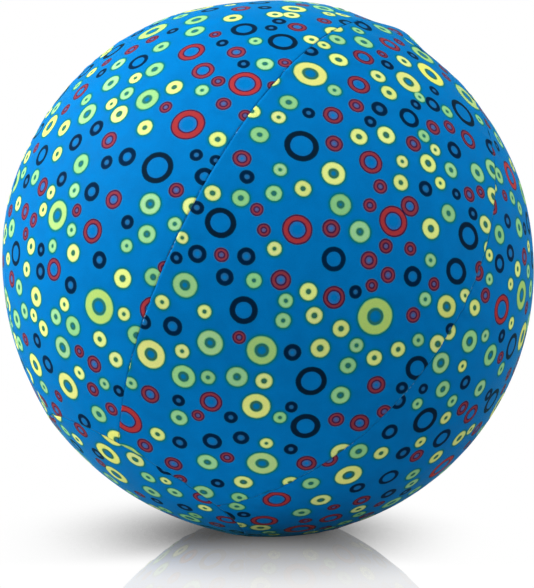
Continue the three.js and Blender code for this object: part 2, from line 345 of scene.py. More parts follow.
def print_rings(mesh, flat, seed):
    """Gives each face the rings that reach it, so that the material can draw them exactly."""
    faces = len(mesh.polygons)
    corners = np.zeros(faces * 4, np.int32)
    mesh.polygons.foreach_get("vertices", corners)
    quads = flat[corners.reshape(-1, 4)]
    middles = quads.mean(axis=1)
    reach = np.linalg.norm(quads - middles[:, None], axis=2).max(axis=1)
    rings, inks = scatter_rings(seed, flat.min(axis=0) - PRINT_MARGIN, flat.max(axis=0) + PRINT_MARGIN)
    apart = np.linalg.norm(middles[:, None] - rings[None, :, :2], axis=2)
    apart = apart - rings[None, :, 2] - reach[:, None]
    nearest = np.argsort(apart, axis=1)[:, :len(RING_SLOTS)]
    shade = np.random.default_rng(seed + 5).uniform(*INK_SHADES, (len(inks), 1))
    fade = np.random.default_rng(seed + 6).uniform(0, INK_FADE, (len(inks), 1))
    light = np.array([ink.light for ink in inks])[:, None]
    grown = smooth_step(rings[:, 2], SMALL_RING, LARGE_RING)[:, None]
    small = np.array([ink.small for ink in inks])
    large = np.array([ink.large for ink in inks])
    colours = (small + (large - small) * grown) * shade
    colours = np.where(light, colours + (FADED - colours) * fade, colours)
    rims = np.array([ink.rim for ink in inks]) * shade
    veils = np.array([ink.veil for ink in inks])
    bare = np.where(light, 0, BARE_SHARE * smooth_step(rings[:, 2], VEILED_RING, BARE_RING)[:, None])
    veils = veils + (np.array(GROUND) - veils) * bare
    widths = np.array([[ink.rim_width, ink.trap_width] for ink in inks])
    for slot, name in enumerate(RING_SLOTS):
        index = nearest[:, slot]
        near = np.take_along_axis(apart, nearest, axis=1)[:, slot] < HALO_REACH
        centre, radius, hole = rings[index, :2], rings[index, 2], rings[index, 3]
        rim_width = np.minimum(widths[index, 0], 0.3 * radius * (1 - hole))
        tables = {
            "ring": np.column_stack([centre, np.where(near, radius, 0)]),
            "form": np.column_stack([hole, rim_width, widths[index, 1]]),
            "ink": colours[index],
            "rim": rims[index],
            "veil": veils[index],
        }
        for label, values in tables.items():
            attribute = mesh.attributes.new(f"{label}_{name}", "FLOAT_VECTOR", "FACE")
            attribute.data.foreach_set("vector", values.astype(np.float32).ravel())


# Meshes

def crowd(count, ends):
    """Numbers from -1 to 1 that crowd towards both ends."""
    t = np.linspace(-1, 1, count)
    return np.sign(t) * (1 - (1 - np.abs(t)) ** 1.7) * ends + t * (1 - ends)


def numbered(rows, columns, first=0):
    return first + np.arange(rows * columns).reshape(rows, columns)


def grid_quads(index):
    """Quads between the neighbours in a table of point numbers."""
    corners = [index[:-1, :-1], index[1:, :-1], index[1:, 1:], index[:-1, 1:]]
    return np.stack(corners, axis=-1).reshape(-1, 4)


def smooth_mesh(name, points, faces):
    mesh = bpy.data.meshes.new(name)
    mesh.from_pydata(points.reshape(-1, 3).tolist(), [], faces)
    mesh.polygons.foreach_set("use_smooth", np.ones(len(mesh.polygons), bool))
    mesh.update()
    return mesh


def add_object(name, mesh, *materials):
    piece = bpy.data.objects.new(name, mesh)
    bpy.context.scene.collection.objects.link(piece)
    for material in materials:
        mesh.materials.append(material)
    return piece


def thicken(piece, thickness, **settings):
    """Gives a thin mesh its wall, inwards."""
    modifier = piece.modifiers.new("wall", "SOLIDIFY")
    modifier.thickness = thickness
    modifier.offset = -1
    for key, value in settings.items():
        setattr(modifier, key, value)
    bpy.context.view_layer.update()
    evaluated = piece.evaluated_get(bpy.context.evaluated_depsgraph_get())
    mesh = bpy.data.meshes.new_from_object(evaluated)
    piece.modifiers.clear()
    piece.data = mesh


def seam_place(polar, azimuth):
    """Each point's distance from the nearest seam, and its place along it."""
    from_pole, _, cap_away, gore_away = from_seams(polar, azimuth)
    by_cap = (cap_away < gore_away) | (from_pole < CAP_ANGLE)
    away = np.where(by_cap, cap_away, gore_away)
    along = np.where(by_cap, along_cap_seam(azimuth), polar * BALL_RADIUS)
    return np.stack([away, along, 0 * away], axis=-1).reshape(-1, 3)


def finish_cloth(name, points, quads, flat, seam, seed, nodes):
    """Makes a piece of printed cloth, with its unprinted side as its second material."""
    mesh = smooth_mesh(name, points, quads.tolist())
    loops = np.zeros(len(mesh.loops), np.int32)
    mesh.loops.foreach_get("vertex_index", loops)
    layer = mesh.uv_layers.new(name="cloth")
    layer.data.foreach_set("uv", flat.reshape(-1, 2)[loops].astype(np.float32).ravel())
    attribute = mesh.attributes.new("seam", "FLOAT_VECTOR", "POINT")
    attribute.data.foreach_set("vector", seam.astype(np.float32).ravel())
    print_rings(mesh, flat.reshape(-1, 2), seed)
    piece = add_object(name, mesh, cloth_material, reverse_material)
    thicken(piece, CLOTH_THICKNESS, use_even_offset=False, material_offset=1)
    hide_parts(*nodes)
    return piece


# Materials

class Nodes:
    """Short calls for building a material's nodes."""

    def __init__(self, name):
        self.material = bpy.data.materials.new(name)
        self.material.use_nodes = True
        self.tree = self.material.node_tree
        self.shader = self.tree.nodes["Principled BSDF"]

    def put(self, socket, value):
        if isinstance(value, bpy.types.NodeSocket):
            self.tree.links.new(value, socket)
            return
        old = socket.default_value
        is_colour = hasattr(old, "__len__") and len(old) == 4
        socket.default_value = (*value, 1) if is_colour and len(value) == 3 else value

    def set(self, name, value):
        self.put(self.shader.inputs[name], value)

    def add(self, kind, inputs, output=0, **settings):
        node = self.tree.nodes.new(kind)
        for key, value in settings.items():
            setattr(node, key, value)
        for key, value in inputs.items():
            self.put(node.inputs[key], value)
        return node.outputs[output]

    def math(self, operation, a, b=0.0):
        return self.add("ShaderNodeMath", {0: a, 1: b}, operation=operation)

    def product(self, first, *others):
        for other in others:
            first = self.math("MULTIPLY", first, other)
        return first

    def vector(self, operation, a, b=(0, 0, 0), output=0):
        return self.add("ShaderNodeVectorMath", {0: a, 1: b}, output, operation=operation)

    def parts(self, vector):
        node = self.tree.nodes.new("ShaderNodeSeparateXYZ")
        self.put(node.inputs[0], vector)
        return node.outputs

    def joined(self, x, y, z):
        return self.add("ShaderNodeCombineXYZ", {0: x, 1: y, 2: z})

    def ramp(self, value, low, high, to_low=0.0, to_high=1.0):
        sockets = {"Value": value, "From Min": low, "From Max": high, "To Min": to_low, "To Max": to_high}
        return self.add("ShaderNodeMapRange", sockets, interpolation_type="SMOOTHSTEP")

    def mix(self, factor, a, b, blend="MIX"):
        node = self.tree.nodes.new("ShaderNodeMix")
        node.data_type = "RGBA"
        node.blend_type = blend
        for index, value in ((0, factor), (6, a), (7, b)):
            self.put(node.inputs[index], value)
        return node.outputs[2]

    def dim(self, colour, level):
        return self.mix(1.0, colour, self.joined(level, level, level), "MULTIPLY")

    def noise(self, vector, scale, detail):
        return self.add("ShaderNodeTexNoise", {"Vector": vector, "Scale": scale, "Detail": detail})

    def attribute(self, name):
        return self.add("ShaderNodeAttribute", {}, "Vector", attribute_name=name)

    def cloth(self):
        return self.add("ShaderNodeUVMap", {}, uv_map="cloth")

    def place(self):
        return self.add("ShaderNodeTexCoord", {}, "Object")

    def bump(self, height, distance, strength):
        sockets = {"Strength": strength, "Distance": distance, "Height": height}
        return self.add("ShaderNodeBump", sockets)


def weave(nodes, cloth):
    """Height of a plain weave: threads that pass over and under each other."""
    x, y, _ = nodes.parts(cloth)
    turns = 2 * math.pi / WEAVE_PITCH
    wave_x = nodes.math("SINE", nodes.math("MULTIPLY", x, turns))
    wave_y = nodes.math("SINE", nodes.math("MULTIPLY", y, turns))
    return nodes.math("MULTIPLY", wave_x, wave_y)


def draw_ring(nodes, slot, cloth, wobble, colour, printed):
    """Prints one ring over the colour so far: a halo, a trap line round it, its edge and its own colour."""
    names = ("ring", "form", "ink", "rim", "veil")
    ring, form, ink, rim, veil = (nodes.attribute(f"{name}_{slot}") for name in names)
    radius = nodes.parts(ring)[2]
    hole, rim_width, trap_width = nodes.parts(form)
    offset = nodes.vector("MULTIPLY", nodes.vector("SUBTRACT", cloth, ring), (1, 1, 0))
    distance = nodes.math("ADD", nodes.vector("LENGTH", offset, output=1), wobble)
    outer = nodes.math("SUBTRACT", radius, distance)
    inner = nodes.math("SUBTRACT", distance, nodes.math("MULTIPLY", radius, hole))
    inside = nodes.math("MINIMUM", outer, inner)
    in_hole = nodes.product(inner, nodes.ramp(trap_width, NARROW_TRAP, WIDE_TRAP, 0.3, 0.6))
    beside = nodes.math("MINIMUM", outer, in_hole)
    real = nodes.ramp(radius, 0.5 * MM, 1.0 * MM)
    open_cloth = nodes.math("SUBTRACT", 1.0, printed)
    halo = nodes.ramp(beside, -HALO_REACH, -0.5 * MM)
    halo = nodes.product(halo, nodes.ramp(trap_width, NARROW_TRAP, WIDE_TRAP), real, open_cloth)
    colour = nodes.mix(halo, colour, nodes.mix(1.0, colour, HALO_TINT, "MULTIPLY"))
    trapped = nodes.ramp(nodes.math("ADD", beside, trap_width), -0.3 * MM, 0.4 * MM)
    trapped = nodes.product(trapped, real, open_cloth)
    edge_teal = nodes.ramp(trap_width, NARROW_TRAP, WIDE_TRAP, 0.5, 0.9)
    teal = nodes.mix(nodes.ramp(outer, -0.1 * MM, 0.1 * MM, edge_teal, 0.0), veil, TRAP_TEAL)
    colour = nodes.mix(nodes.product(trapped, 0.85), colour, teal)
    cover = nodes.ramp(inside, -0.25 * MM, 0.1 * MM)
    core = nodes.ramp(nodes.math("SUBTRACT", inside, rim_width), -0.25 * MM, 0.25 * MM)
    drawn = nodes.mix(core, rim, ink)
    over = nodes.mix(printed, drawn, nodes.mix(1.0, drawn, colour, "MULTIPLY"))
    return nodes.mix(cover, colour, over), nodes.math("MAXIMUM", printed, cover)


def make_cloth_material():
    nodes = Nodes("printed_cotton")
    cloth = nodes.cloth()
    blotches = nodes.noise(cloth, 90, 3)
    grain = nodes.noise(cloth, 1500, 2)
    shape = nodes.math("SUBTRACT", nodes.noise(cloth, 260, 2), 0.5)
    bleed = nodes.math("SUBTRACT", nodes.noise(cloth, 1400, 2), 0.5)
    wobble = nodes.math("ADD", nodes.product(shape, 0.45 * MM), nodes.product(bleed, 0.3 * MM))
    weave_height = weave(nodes, cloth)
    colour = nodes.dim(GROUND, nodes.ramp(blotches, 0.25, 0.75, 0.94, 1.06))
    printed = 0.0
    for slot in RING_SLOTS:
        colour, printed = draw_ring(nodes, slot, cloth, wobble, colour, printed)
    # In patches the cloth is darkened where it turns into a seam: painted shade in the seam's crease. Where
    # a seam pulls on its stitches, the needle holes show a little unprinted cloth.
    to_seam, along_seam, _ = nodes.parts(nodes.attribute("seam"))
    seam_crease_shade = nodes.ramp(nodes.noise(cloth, 25, 2), 0.42, 0.62, 0.95, 0.62)
    colour = nodes.dim(colour, nodes.ramp(to_seam, 0.15 * MM, 0.8 * MM, seam_crease_shade, 1.0))
    beat = nodes.math("SINE", nodes.math("MULTIPLY", along_seam, 2 * math.pi / STITCH))
    hole = nodes.ramp(beat, -0.6, 0.8)
    close = nodes.ramp(to_seam, 0.25 * MM, 0.6 * MM, 1.0, 0.0)
    patchy = nodes.ramp(nodes.noise(cloth, 70, 2), 0.55, 0.75, 0.0, 0.35)
    colour = nodes.mix(nodes.product(hole, close, patchy), colour, UNPRINTED)
    threads = nodes.ramp(weave_height, -1, 1, 0.96, 1.03)
    colour = nodes.dim(colour, nodes.product(nodes.ramp(grain, 0.3, 0.7, 0.95, 1.04), threads))
    dull = nodes.math("ADD", blotches, nodes.product(printed, 0.12))
    fuzz = nodes.noise(cloth, 2600, 2)
    height = nodes.math("ADD", nodes.product(weave_height, 0.5), nodes.product(fuzz, 0.6))
    nodes.set("Base Color", colour)
    nodes.set("Roughness", nodes.ramp(dull, 0.3, 0.8, 0.58, 0.72))
    nodes.set("Normal", nodes.bump(height, 0.05 * MM, 0.8))
    nodes.set("Specular IOR Level", 0.01)
    nodes.set("Sheen Weight", 0.12)
    nodes.set("Sheen Roughness", 0.2)
    nodes.set("Sheen Tint", (0.2, 1.0, 0.55))
    return nodes.material


def make_reverse_material():
    nodes = Nodes("cotton_reverse")
    cloth = nodes.cloth()
    tone = nodes.ramp(nodes.noise(cloth, 240, 3), 0.25, 0.75)
    nodes.set("Base Color", nodes.mix(tone, (0.18, 0.36, 0.56), (0.26, 0.44, 0.62)))
    nodes.set("Roughness", nodes.ramp(tone, 0.0, 1.0, 0.8, 0.9))
    nodes.set("Normal", nodes.bump(weave(nodes, cloth), 0.05 * MM, 0.8))
    return nodes.material


def make_thread_material():
    nodes = Nodes("sewing_thread")
    place = nodes.place()
    twist = nodes.noise(place, 2200, 2)
    tone = nodes.ramp(nodes.noise(place, 60, 2), 0.3, 0.7)
    nodes.set("Base Color", nodes.mix(tone, (0.0, 0.068, 0.215), (0.001, 0.1, 0.29)))
    nodes.set("Roughness", nodes.ramp(twist, 0.3, 0.7, 0.5, 0.75))
    nodes.set("Normal", nodes.bump(twist, 0.08 * MM, 0.7))
    nodes.set("Specular IOR Level", 0.05)
    return nodes.material


def make_latex_material():
    nodes = Nodes("stretched_latex")
    powder = nodes.noise(nodes.place(), 180, 4)
    tone = nodes.ramp(powder, 0.3, 0.7)
    nodes.set("Base Color", nodes.mix(tone, (0.72, 0.66, 0.5), (0.82, 0.77, 0.63)))
    nodes.set("Roughness", nodes.ramp(powder, 0.2, 0.8, 0.28, 0.46))
    nodes.set("Normal", nodes.bump(powder, 0.05 * MM, 0.3))
    nodes.set("Subsurface Weight", 0.15)
    nodes.set("Subsurface Radius", (0.004, 0.003, 0.002))
    return nodes.material


cloth_material = make_cloth_material()
reverse_material = make_reverse_material()
thread_material = make_thread_material()
latex_material = make_latex_material()

# Cloth pieces

FINE = 1.0
ACROSS = int(66 * FINE)
ALONG = int(220 * FINE)
CAP_CELLS = int(64 * FINE)
UPPER_EDGE = CAP_ANGLE + SEAM_MARGIN / BALL_RADIUS
LOWER_EDGE = math.pi - CAP_ANGLE - SEAM_MARGIN / BALL_RADIUS
FIRST_GORE_SEED = 31
INNER_HALF_SEED = 38
OUTER_HALF_SEED = 39
UPPER_CAP_PRINT = 71
LOWER_CAP_PRINT = 72


def cap_line(off):
    return 0 * off + UPPER_EDGE


def straight_line(reach):
    """A straight line across a gore, as an angle from the pole."""
    return lambda off: np.arctan2(np.tan(reach / BALL_RADIUS), np.cos(off))


def gore_grid(off, polar, gore):
    """Azimuths of a gore's grid, drawn in from its seams by the margin."""
    margin = 1 - SEAM_MARGIN / (BALL_RADIUS * np.sin(polar) * GORE_ANGLE / 2)
    return off[None] * margin + (gore + 0.5) * GORE_ANGLE


def make_gore(name, gore, top, seed, node):
    """The cloth of a gore, from a line across it down to the lower cap."""
    off = crowd(ACROSS, 0.55) * (GORE_ANGLE / 2)
    share = (crowd(ALONG, 0.35) + 1) / 2
    start = top(off)
    polar = start[None] + (LOWER_EDGE - start)[None] * share[:, None]
    azimuth = gore_grid(off, polar, gore)
    flat = gore_flat(polar, azimuth, gore)
    seam = seam_place(polar, azimuth)
    quads = grid_quads(numbered(*polar.shape))
    piece = finish_cloth(name, skin(polar, azimuth), quads, flat, seam, seed, [node])
    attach(piece, "ball")


def make_cap(name, upper, seed):
    """A cap, from a square grid pressed into a round disc."""
    t = crowd(CAP_CELLS, 0.3)
    u, v = np.meshgrid(t, t, indexing="ij")
    x, y = u * np.sqrt(1 - v * v / 2), v * np.sqrt(1 - u * u / 2)
    reach = CAP_RADIUS - SEAM_MARGIN
    from_pole = np.hypot(x, y) * reach / BALL_RADIUS
    azimuth = np.arctan2(y, x) % (2 * math.pi)
    polar = from_pole if upper else math.pi - from_pole
    quads = grid_quads(numbered(*polar.shape))
    if not upper:
        quads = quads[:, ::-1]
    flat = np.stack([x, y], axis=-1) * reach
    seam = seam_place(polar, azimuth)
    piece = finish_cloth(f"cloth_{name}", skin(polar, azimuth), quads, flat, seam, seed, [name])
    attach(piece, "ball")


for number in range(1, GORE_COUNT):
    gore_seed = FIRST_GORE_SEED + number - 1
    make_gore(f"cloth_gore_{number}", number - 1, cap_line, gore_seed, f"gore_{number}")
make_cap("cap_upper", True, UPPER_CAP_PRINT)
make_cap("cap_lower", False, LOWER_CAP_PRINT)

# The opening in the last gore: its inner half, and its outer half with the free tongue

inner_edge = straight_line(FOLD_REACH - OVERLAP)
make_gore("cloth_opening_inner", OPENING_GORE, inner_edge, INNER_HALF_SEED, "opening_half_inner")

FOLD_ALONG = math.pi / 2 * BALL_RADIUS - FOLD_REACH
HEM_FOLD = 7 * MM
HEM_EDGE = 2 * MM
HEM_RISE = 0.35 * MM


def tongue_half_width(past_fold):
    into_corner = np.clip(past_fold - (TONGUE_LENGTH - TONGUE_CORNER), 0, TONGUE_CORNER)
    drawn_in = TONGUE_CORNER - np.sqrt(np.maximum(TONGUE_CORNER**2 - into_corner**2, 0))
    return TONGUE_WIDTH / 2 - drawn_in


def half_lift(flat, from_seam):
    """How far the outer half stands out where it lies over the inner one, with its hem beside the mouth."""
    before_fold = flat[..., 1] - FOLD_ALONG
    off_seam = 1 - np.exp(-from_seam / (3 * MM))
    over = smooth_step(before_fold, OVERLAP + 5 * MM, OVERLAP - 3 * MM) * off_seam
    mouth_edge = TONGUE_WIDTH / 2
    in_mouth = smooth_step(np.abs(flat[..., 0]), mouth_edge + 3 * MM, mouth_edge - 3 * MM)
    hem = smooth_step(before_fold, HEM_FOLD, HEM_FOLD - HEM_EDGE) * (1 - in_mouth)
    return RAISED * over + HEM_RISE * hem * over


def make_outer_half():
    edge = math.asin(math.sin(TONGUE_WIDTH / 2 / BALL_RADIUS) / math.sin(FOLD_POLAR))
    side_count, middle_count, rows = int(26 * FINE), int(44 * FINE), int(64 * FINE)
    half = GORE_ANGLE / 2
    left = -half + (half - edge) * (crowd(side_count, 0.5) + 1) / 2
    off = np.concatenate([left[:-1], crowd(middle_count, 0.4) * edge, -left[::-1][1:]])
    first, last = side_count - 1, side_count - 1 + middle_count
    share = (crowd(rows, 0.3) + 1) / 2
    start, end = cap_line(off), straight_line(FOLD_REACH)(off)
    polar = start[None] + (end - start)[None] * share[:, None]
    azimuth = gore_grid(off, polar, OPENING_GORE)
    flat = gore_flat(polar, azimuth, OPENING_GORE)
    from_seam = (half - np.abs(off))[None] * np.sin(polar) * BALL_RADIUS
    lift = half_lift(flat, from_seam)

    past = np.linspace(0, 1, int(26 * FINE) + 1)[1:] * TONGUE_LENGTH
    past = TONGUE_LENGTH * (1 - (1 - past / TONGUE_LENGTH) ** 1.25)
    past = past[:, None]
    across_fold = flat[-1, first:last, 0] / (TONGUE_WIDTH / 2)
    across = across_fold[None] * tongue_half_width(past)
    along = FOLD_ALONG - past + 0 * across
    tongue_polar, tongue_azimuth = gore_unflat(across, along, OPENING_GORE)
    to_side = tongue_half_width(past) - np.abs(across)
    to_end = TONGUE_LENGTH - past + 0 * across
    hem = smooth_step(np.minimum(to_side, to_end), HEM_FOLD, HEM_FOLD - HEM_EDGE)

    points = np.concatenate([
        skin(polar, azimuth, lift).reshape(-1, 3),
        skin(tongue_polar, tongue_azimuth, RAISED + HEM_RISE * hem).reshape(-1, 3),
    ])
    flats = np.concatenate([flat.reshape(-1, 2), np.stack([across, along], axis=-1).reshape(-1, 2)])
    seam = np.concatenate([seam_place(polar, azimuth), seam_place(tongue_polar, tongue_azimuth)])
    body = numbered(*polar.shape)
    tongue = numbered(*across.shape, first=body.size)
    tongue = np.vstack([body[-1:, first:last], tongue])
    quads = np.concatenate([grid_quads(body), grid_quads(tongue)])
    nodes = ["opening_half_outer", "opening_flap"]
    return finish_cloth("cloth_opening_outer", points, quads, flats, seam, OUTER_HALF_SEED, nodes)


# The middle of the opening, and the directions at the fold straight out of the ball and down along it
MOUTH = (OPENING_GORE + 0.5) * GORE_ANGLE
OUT = direction(FOLD_POLAR, MOUTH)
DOWN = direction(FOLD_POLAR + math.pi / 2, MOUTH)

outer_half = make_outer_half()
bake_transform(outer_half)

# Stitches

STITCH_SHARE = 0.78
STITCH_STEPS = 7
STITCH_SIDES = 6
THREAD_RADIUS = 0.19 * MM
SEAM_STITCH_LIFT = -0.28 * MM
SEAM_TRIM = 1.2 * MM
SEAM_POINTS = 400


def make_stitches(name, polar, azimuth, lift, node, radius=THREAD_RADIUS, length=STITCH):
    """A row of separate stitches along a line, each a small arched thread that dips in at its ends."""
    path = skin(polar, azimuth, np.full_like(polar, lift))
    outward = direction(polar, azimuth) @ BALL_TURN.T
    steps = np.concatenate([[0], np.cumsum(np.linalg.norm(np.diff(path, axis=0), axis=1))])
    count = max(1, int(steps[-1] / length))
    pitch = steps[-1] / count
    t = np.linspace(-1, 1, STITCH_STEPS)
    angles = np.linspace(0, 2 * math.pi, STITCH_SIDES, endpoint=False)[None, :, None]
    points, faces = [], []
    for index in range(count):
        at = (index + 0.5) * pitch + t * pitch / 2 * STITCH_SHARE
        centre = np.stack([np.interp(at, steps, path[:, k]) for k in range(3)], axis=1)
        normal = np.stack([np.interp(at, steps, outward[:, k]) for k in range(3)], axis=1)
        normal /= np.linalg.norm(normal, axis=1)[:, None]
        tangent = np.gradient(centre, axis=0)
        tangent /= np.linalg.norm(tangent, axis=1)[:, None]
        side = np.cross(tangent, normal)
        centre = centre + normal * (radius * 1.2 * (0.6 - np.abs(t) ** 3))[:, None]
        width = radius * np.sqrt(np.maximum(1 - np.abs(t) ** 6, 0.02))
        around = np.cos(angles) * side[:, None] + np.sin(angles) * normal[:, None]
        points.append(centre[:, None] + width[:, None, None] * around)
        tube = numbered(STITCH_STEPS, STITCH_SIDES, first=index * STITCH_STEPS * STITCH_SIDES)
        faces += grid_quads(np.hstack([tube, tube[:, :1]]))[:, [0, 3, 2, 1]].tolist()
        faces += [tube[0, ::-1].tolist(), tube[-1].tolist()]
    piece = add_object(name, smooth_mesh(name, np.concatenate(points), faces), thread_material)
    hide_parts(node)
    return piece


def sew(name, polar, azimuth, lift, node, **thread):
    piece = make_stitches(name, polar, azimuth, lift, node, **thread)
    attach(piece, "ball")


for index in range(GORE_COUNT):
    trim = SEAM_TRIM / BALL_RADIUS
    polar = np.linspace(CAP_ANGLE + trim, math.pi - CAP_ANGLE - trim, SEAM_POINTS)
    azimuth = np.full_like(polar, index * GORE_ANGLE)
    name, node = f"stitches_gore_seam_{index + 1}", f"gore_seam_thread_{index + 1}"
    sew(name, polar, azimuth, SEAM_STITCH_LIFT, node)

for name, polar_angle in (("upper", CAP_ANGLE), ("lower", math.pi - CAP_ANGLE)):
    azimuth = np.linspace(0, 2 * math.pi, SEAM_POINTS)
    polar = np.full_like(azimuth, polar_angle)
    sew(f"stitches_cap_seam_{name}", polar, azimuth, SEAM_STITCH_LIFT, f"cap_seam_thread_{name}")

# Stitches on top of the opening's outer half

HEM_INSET = 4.3 * MM
HEM_STITCH_START = 0.8 * MM
HEM_POINTS = 12
TOP = RAISED + HEM_RISE
OVERLAP_STITCH_END = 67 * MM
BARTACK_LENGTH = 9 * MM
BARTACK_WIDTH = 1.6 * MM
BARTACK_TURNS = 16
BARTACK_THREAD = 0.22 * MM
BARTACK_STITCH = 1.7 * MM
BARTACK_SINK = 0.05 * MM


def line_on_opening(across, past_fold):
    return gore_unflat(across, FOLD_ALONG - past_fold, OPENING_GORE)


def tongue_stitch_path():
    """The hem's line of stitches: down one side of the tongue, round its end and up the other side."""
    side = TONGUE_WIDTH / 2 - HEM_INSET
    end = TONGUE_LENGTH - HEM_INSET
    radius = TONGUE_CORNER - HEM_INSET
    angle = np.linspace(0, math.pi / 2, HEM_POINTS)
    past = np.linspace(HEM_STITCH_START, end - radius, HEM_POINTS)
    straight = np.stack([np.full(HEM_POINTS, side), past], axis=1)
    corner = [side - radius + radius * np.cos(angle), end - radius + radius * np.sin(angle)]
    half = np.concatenate([straight[:-1], np.stack(corner, axis=1)])
    return np.concatenate([half, (half * [-1, 1])[::-1]])


path = tongue_stitch_path()
polar, azimuth = line_on_opening(path[:, 0], path[:, 1])
hem_stitches = make_stitches("stitches_flap_hem", polar, azimuth, TOP, "flap_hem_thread")
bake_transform(hem_stitches)

tack_across = TONGUE_WIDTH / 2 + BARTACK_WIDTH
tack_end = -HEM_INSET / 2
for name, side in (("left", 1), ("right", -1)):
    across = side * np.linspace(tack_across + BARTACK_WIDTH, OVERLAP_STITCH_END, 40)
    polar, azimuth = line_on_opening(across, np.full_like(across, -HEM_INSET))
    sew(f"stitches_overlap_{name}", polar, azimuth, TOP, f"overlap_thread_{name}")
    zigzag = np.arange(2 * BARTACK_TURNS + 1)
    across = side * (tack_across + BARTACK_WIDTH / 2 * (1 - 2 * (zigzag % 2)))
    past = tack_end - BARTACK_LENGTH * zigzag / zigzag[-1]
    polar, azimuth = line_on_opening(across, past)
    sew(
        f"bartack_stitches_{name}", polar, azimuth, TOP - BARTACK_SINK, f"bartack_{name}",
        radius=BARTACK_THREAD, length=BARTACK_STITCH,
    )

# The balloon that keeps the cover round, with its neck and knot pushed into a hollow under the mouth

BALLOON_DEPTH = 1.2 * MM
BALLOON_TOP = BALL_RADIUS - BALLOON_DEPTH
LATEX = 0.5 * MM
HOLLOW = np.array([20, 40, 13]) * MM
HOLLOW_ROUNDING = 1.2 * MM
NECK_RADIUS = 4 * MM
NECK_BORE = 3.3 * MM
NECK_HEIGHT = 3 * MM
KNOT_DIAMETER = 11 * MM
KNOT_HEIGHT = 7 * MM
KNOT_GAP = 0.3 * MM
TAIL_START = 3 * MM
TAIL_LENGTH = 22 * MM
TAIL_WIDTH = 9 * MM
TAIL_NARROW = 2.2 * MM
TAIL_HEIGHT = 0.8 * MM
TAIL_RIPPLE = 0.5 * MM
LIP_WIDTH = 13 * MM
LIP_RADIUS = 1.4 * MM

MOUTH_FRAME = np.stack([np.cross(DOWN, OUT), DOWN, OUT])


def balloon_radius(towards):
    """How far the balloon reaches in a direction of the mouth's own frame."""
    own = towards @ MOUTH_FRAME
    polar = np.arccos(np.clip(own[..., 2], -1, 1))
    azimuth = np.arctan2(own[..., 1], own[..., 0]) % (2 * math.pi)
    outer = np.linalg.norm(skin(polar, azimuth, -BALLOON_DEPTH) - CENTRE, axis=-1)
    scaled, start = towards / HOLLOW, np.array([0, 0, BALLOON_TOP]) / HOLLOW
    a = (scaled**2).sum(axis=-1)
    b = (scaled * start).sum(axis=-1)
    c = (start**2).sum() - 1
    inside = b * b - a * c
    entry = np.where((inside > 0) & (b > 0), (b - np.sqrt(np.maximum(inside, 0))) / a, 1.0)
    return -HOLLOW_ROUNDING * np.logaddexp(-outer / HOLLOW_ROUNDING, -entry / HOLLOW_ROUNDING)


def full_turn(count):
    return np.linspace(0, 2 * math.pi, count, endpoint=False)


def tube_faces(rings, around, first=0):
    """Quads round a tube of rings."""
    tube = numbered(rings, around, first)
    return grid_quads(np.hstack([tube, tube[:, :1]])).tolist()


def closed_tube_faces(rings, around, first=0):
    """A tube of rings with both its ends closed."""
    tube = numbered(rings, around, first)
    return tube_faces(rings, around, first) + [tube[0, ::-1].tolist(), tube[-1].tolist()]


def finish_latex(name, points, faces, node):
    in_row = points @ MOUTH_FRAME @ BALL_TURN.T + CENTRE
    piece = add_object(name, smooth_mesh(name, in_row, faces), latex_material)
    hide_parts(node)
    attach(piece, "ball")
    return piece


def make_balloon():
    around = int(180 * FINE)
    first = NECK_RADIUS / (BALLOON_TOP - HOLLOW[2])
    angle = first + (math.pi - first) * np.linspace(0, 1, int(130 * FINE))[:-1] ** 1.35
    turn = full_turn(around)
    polar, azimuth = np.meshgrid(angle, turn, indexing="ij")
    towards = direction(polar, azimuth)
    body = towards * balloon_radius(towards)[..., None]
    base = body[0, :, 2].mean()
    rise = np.linspace(NECK_HEIGHT, 0.3 * MM, 6)
    bore = np.stack([NECK_BORE * np.cos(turn), NECK_BORE * np.sin(turn)], axis=-1)
    neck = np.stack([np.column_stack([bore, np.full(around, base + h)]) for h in rise])
    end = np.array([[0, 0, -1.0]])
    points = np.concatenate([neck.reshape(-1, 3), body.reshape(-1, 3), end * balloon_radius(end)[..., None]])
    rings = len(rise) + len(angle)
    last, end_point = numbered(rings, around)[-1], rings * around
    closing = np.stack([last, np.full(around, end_point), np.roll(last, -1)], axis=-1)
    faces = tube_faces(rings, around) + closing.tolist()
    thicken(finish_latex("latex_balloon", points, faces, "balloon"), LATEX)
    return base + NECK_HEIGHT


